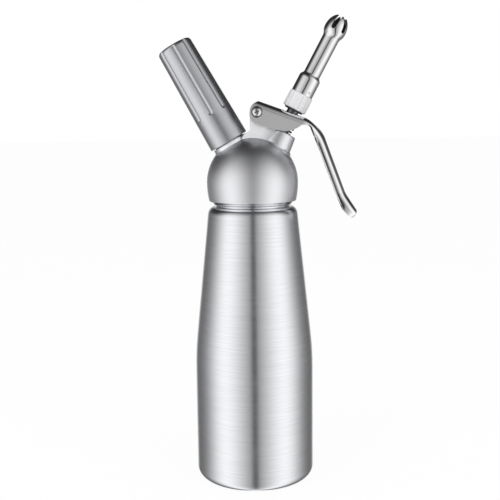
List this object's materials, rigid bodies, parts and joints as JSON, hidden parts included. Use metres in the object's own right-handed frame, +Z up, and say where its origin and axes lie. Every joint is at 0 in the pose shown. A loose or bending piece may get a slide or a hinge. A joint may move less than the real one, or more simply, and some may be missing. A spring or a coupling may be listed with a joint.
{
  "type": "whipped cream dispenser",
  "caption": "Aluminium bottle with a screwed-on domed head that carries a gas charger holder, a lever-worked plunger valve and a pronged decorating tip.",
  "frame": {"origin": "centre of the bottle's foot, on the plane that it stands on", "axes": "+Z up the bottle's axis; +X from the bottle towards the lever and the tip; +Y away from the side that shows the screw's head"},
  "size_m": [0.1294, 0.08, 0.3101],
  "materials": {
    "bottle_aluminium": "fine brushing around the bottle",
    "head_aluminium": "satin dome, smoother bosses",
    "holder_aluminium": "satin anodised with flutes",
    "lever_steel": "polished pressed sheet",
    "tip_steel": "polished drawn tube",
    "screw_steel": "polished",
    "stem_steel": "turned",
    "spring_steel": "drawn wire",
    "charger_steel": "plain zinc",
    "brass": "turned",
    "tip_plastic": "milky moulded plastic",
    "cap_plastic": "black moulded plastic",
    "silicone": "matt silicone",
    "rubber": "matt black rubber"
  },
  "bodies": {
    "bottle": {"bottle": "bottle_aluminium"},
    "gasket": {"head_gasket": "silicone"},
    "head": {"head": "head_aluminium", "piercing_pin": "brass", "pin_seal": "rubber", "check_valve": "rubber", "valve_guide": "brass", "valve_spring": "spring_steel", "pivot_sleeve": "screw_steel", "pivot_washer": "screw_steel", "pivot_screw": "screw_steel"},
    "charger": {"gas_charger": "charger_steel"},
    "holder": {"charger_holder": "holder_aluminium"},
    "lever": {"lever": "lever_steel"},
    "valve": {"valve_stem": "stem_steel", "stem_o_ring": "rubber", "valve_seal": "rubber", "valve_plug": "stem_steel", "spring_cap": "cap_plastic"},
    "tip_seal": {"tip_gasket": "rubber"},
    "tip": {"tip_base": "tip_plastic", "decorating_tip": "tip_steel"}
  },
  "joints": [
    {"name": "head_lift", "type": "slide", "parent": "bottle", "child": "gasket", "axis": [0, 0, 1], "range_m": [0, 0.009]},
    {"name": "head_turn", "type": "hinge", "parent": "gasket", "child": "head", "pos_m": [0, 0, 0.2], "axis": [0, 0, 1], "range_deg": [0, 1080]},
    {"name": "charger_lift", "type": "slide", "parent": "head", "child": "charger", "axis": [-0.4924, 0, 0.8704], "range_m": [0, 0.007]},
    {"name": "holder_turn", "type": "hinge", "parent": "charger", "child": "holder", "pos_m": [-0.02954, 0, 0.25422], "axis": [-0.4924, 0, 0.8704], "range_deg": [0, 1440]},
    {"name": "lever_pivot", "type": "hinge", "parent": "head", "child": "lever", "pos_m": [0.0033, 0, 0.248], "axis": [0, 1, 0], "range_deg": [0, 10.75], "stiffness_Nm_per_rad": 0.9, "springref_deg": -20.05},
    {"name": "valve_slide", "type": "slide", "parent": "head", "child": "valve", "axis": [-0.471, 0, -0.8821], "range_m": [0, 0.004], "deforming": ["valve_spring"]},
    {"name": "tip_lift", "type": "slide", "parent": "valve", "child": "tip_seal", "axis": [0.471, 0, 0.8821], "range_m": [0, 0.0045]},
    {"name": "tip_turn", "type": "hinge", "parent": "tip_seal", "child": "tip", "pos_m": [0.03066, 0, 0.25493], "axis": [0.471, 0, 0.8821], "range_deg": [0, 1080]}
  ],
  "couplings": [
    {"joint": "head_lift", "follows": "head_turn", "m_per_rad": 0.00047746},
    {"joint": "charger_lift", "follows": "holder_turn", "m_per_rad": 0.00027852},
    {"joint": "valve_slide", "follows": "lever_pivot", "m_per_rad": 0.02124},
    {"joint": "tip_lift", "follows": "tip_turn", "m_per_rad": 0.00023873}
  ]
}
